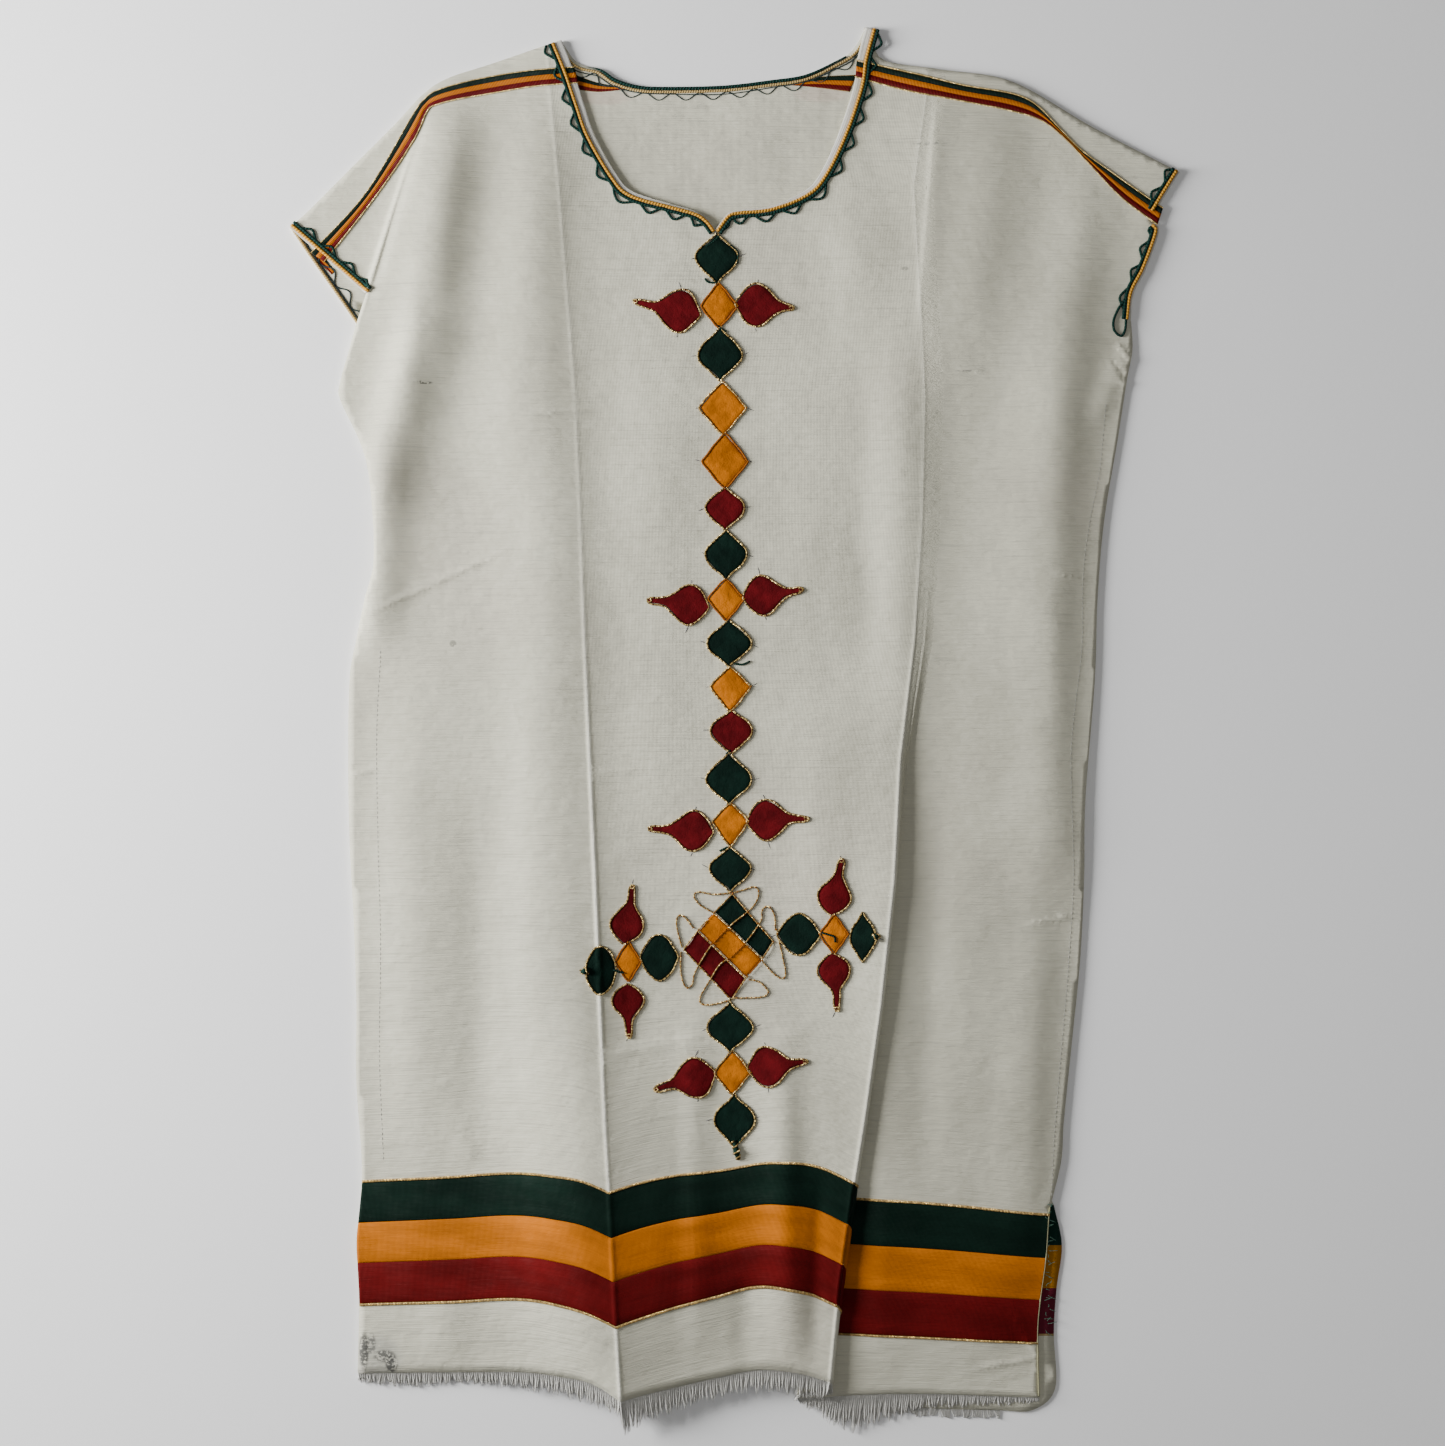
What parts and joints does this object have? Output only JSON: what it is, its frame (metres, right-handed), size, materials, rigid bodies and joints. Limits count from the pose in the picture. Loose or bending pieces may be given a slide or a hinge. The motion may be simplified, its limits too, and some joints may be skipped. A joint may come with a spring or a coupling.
{
  "type": "habesha kemis dress",
  "caption": "Off-white cotton habesha kemis laid flat, with short sleeves, tricolour shoulder tapes and hem bands, a frayed hem and a cross of applied diamond patches.",
  "frame": {"origin": "centre of the dress on the surface that it lies on", "axes": "X across the dress, Y up from the hem towards the neck, Z out of the front, away from the surface"},
  "size_m": [0.662, 1.0453, 0.0172],
  "materials": {
    "cotton": "off-white handwoven cotton with slubs",
    "fray": "loose off-white cotton threads",
    "band_green": "dark green plain weave",
    "band_yellow": "golden yellow plain weave",
    "band_red": "deep red plain weave",
    "patch_green": "dark green cotton, couched edge",
    "patch_yellow": "golden yellow cotton, couched edge",
    "patch_red": "deep red cotton, couched edge",
    "tape": "woven tape, striped green, yellow and red",
    "trim": "turned edge with yellow and green cord"
  },
  "bodies": {
    "root": {"back_panel": "cotton", "cuff_trim_left": "trim", "cuff_trim_right": "trim", "fringe_back": "fray", "fringe_front": "fray", "front_panel": "cotton", "hem_band_green": "band_green", "hem_band_red": "band_red", "hem_band_yellow": "band_yellow", "neck_trim": "trim", "patch_01": "patch_green", "patch_02": "patch_yellow", "patch_02_left": "patch_red", "patch_02_right": "patch_red", "patch_03": "patch_green", "patch_04": "patch_yellow", "patch_05": "patch_yellow", "patch_06": "patch_red", "patch_07": "patch_green", "patch_08": "patch_yellow", "patch_08_left": "patch_red", "patch_08_right": "patch_red", "patch_09": "patch_green", "patch_10": "patch_yellow", "patch_11": "patch_red", "patch_12": "patch_green", "patch_13": "patch_yellow", "patch_13_left": "patch_red", "patch_13_right": "patch_red", "patch_14": "patch_green", "patch_15": "patch_green", "patch_16": "patch_yellow", "patch_16_left": "patch_red", "patch_16_right": "patch_red", "patch_17": "patch_green", "patch_cross_left_down": "patch_red", "patch_cross_left_heart": "patch_yellow", "patch_cross_left_inner": "patch_green", "patch_cross_left_outer": "patch_green", "patch_cross_left_up": "patch_red", "patch_cross_right_down": "patch_red", "patch_cross_right_heart": "patch_yellow", "patch_cross_right_inner": "patch_green", "patch_cross_right_outer": "patch_green", "patch_cross_right_up": "patch_red", "patch_diamond_green": "patch_green", "patch_diamond_red": "patch_red", "patch_diamond_yellow": "patch_yellow", "shoulder_tape_left": "tape", "shoulder_tape_right": "tape"}
  },
  "joints": []
}
